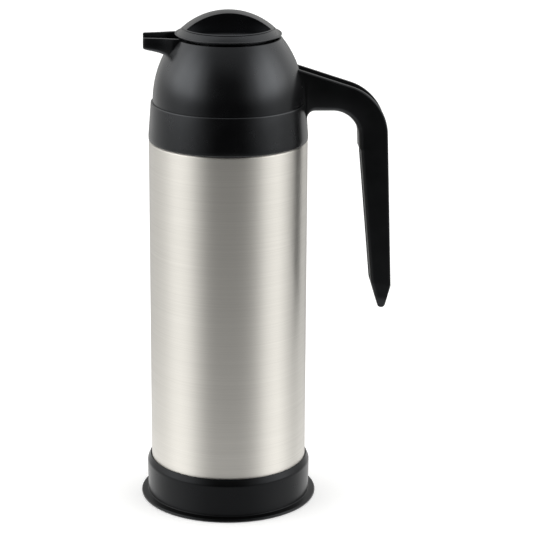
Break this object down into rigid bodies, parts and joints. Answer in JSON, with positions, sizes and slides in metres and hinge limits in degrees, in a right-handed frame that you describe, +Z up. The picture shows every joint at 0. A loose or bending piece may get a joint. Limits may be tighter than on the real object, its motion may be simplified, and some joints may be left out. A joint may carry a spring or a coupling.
{
  "type": "insulated coffee server",
  "caption": "Tall steel vacuum coffee server with a screw stopper, a short pouring spout and an open-ended black handle.",
  "frame": {"origin": "centre of the resting face under the base pad, on the server's axis", "axes": "+Z up along the server's axis, +X towards the handle, -X towards the spout"},
  "size_m": [0.1445, 0.1024, 0.2872],
  "materials": {
    "brushed_steel": "satin, brushed around the tube",
    "inner_steel": "drawn, semi-bright",
    "black_plastic": "satin moulded polypropylene",
    "grip_plastic": "soft matt, fine grain",
    "pad_rubber": "matt",
    "gasket_silicone": "milky, translucent look",
    "foam": "matt cellular insulation",
    "screw_steel": "plated",
    "seal_metal": "dull"
  },
  "bodies": {
    "flask": {"outer_shell": "brushed_steel", "inner_liner": "inner_steel", "outer_bottom": "brushed_steel", "vacuum_seal": "seal_metal", "getter_pellet": "seal_metal", "base_cup": "black_plastic", "foot_pad": "pad_rubber", "collar_ring": "black_plastic", "shoulder_dome": "black_plastic", "pouring_ring": "black_plastic", "neck_gasket": "gasket_silicone", "handle_frame": "black_plastic", "handle_back_strip": "black_plastic", "grip_insert": "grip_plastic", "handle_screw_left": "screw_steel", "handle_screw_right": "screw_steel"},
    "stopper_seal": {"stopper_gasket": "gasket_silicone"},
    "stopper": {"stopper_cap": "black_plastic", "stopper_plug": "black_plastic", "stopper_end_cap": "black_plastic", "stopper_foam": "foam"}
  },
  "joints": [
    {"name": "stopper_lift", "type": "slide", "parent": "flask", "child": "stopper_seal", "axis": [0, 0, 1], "range_m": [0, 0.036]},
    {"name": "stopper_twist", "type": "hinge", "parent": "stopper_seal", "child": "stopper", "pos_m": [0, 0, 0.26], "axis": [0, 0, 1], "range_deg": [0, 720]}
  ],
  "couplings": [
    {"joint": "stopper_lift", "follows": "stopper_twist", "m_per_rad": 0.0028648}
  ]
}
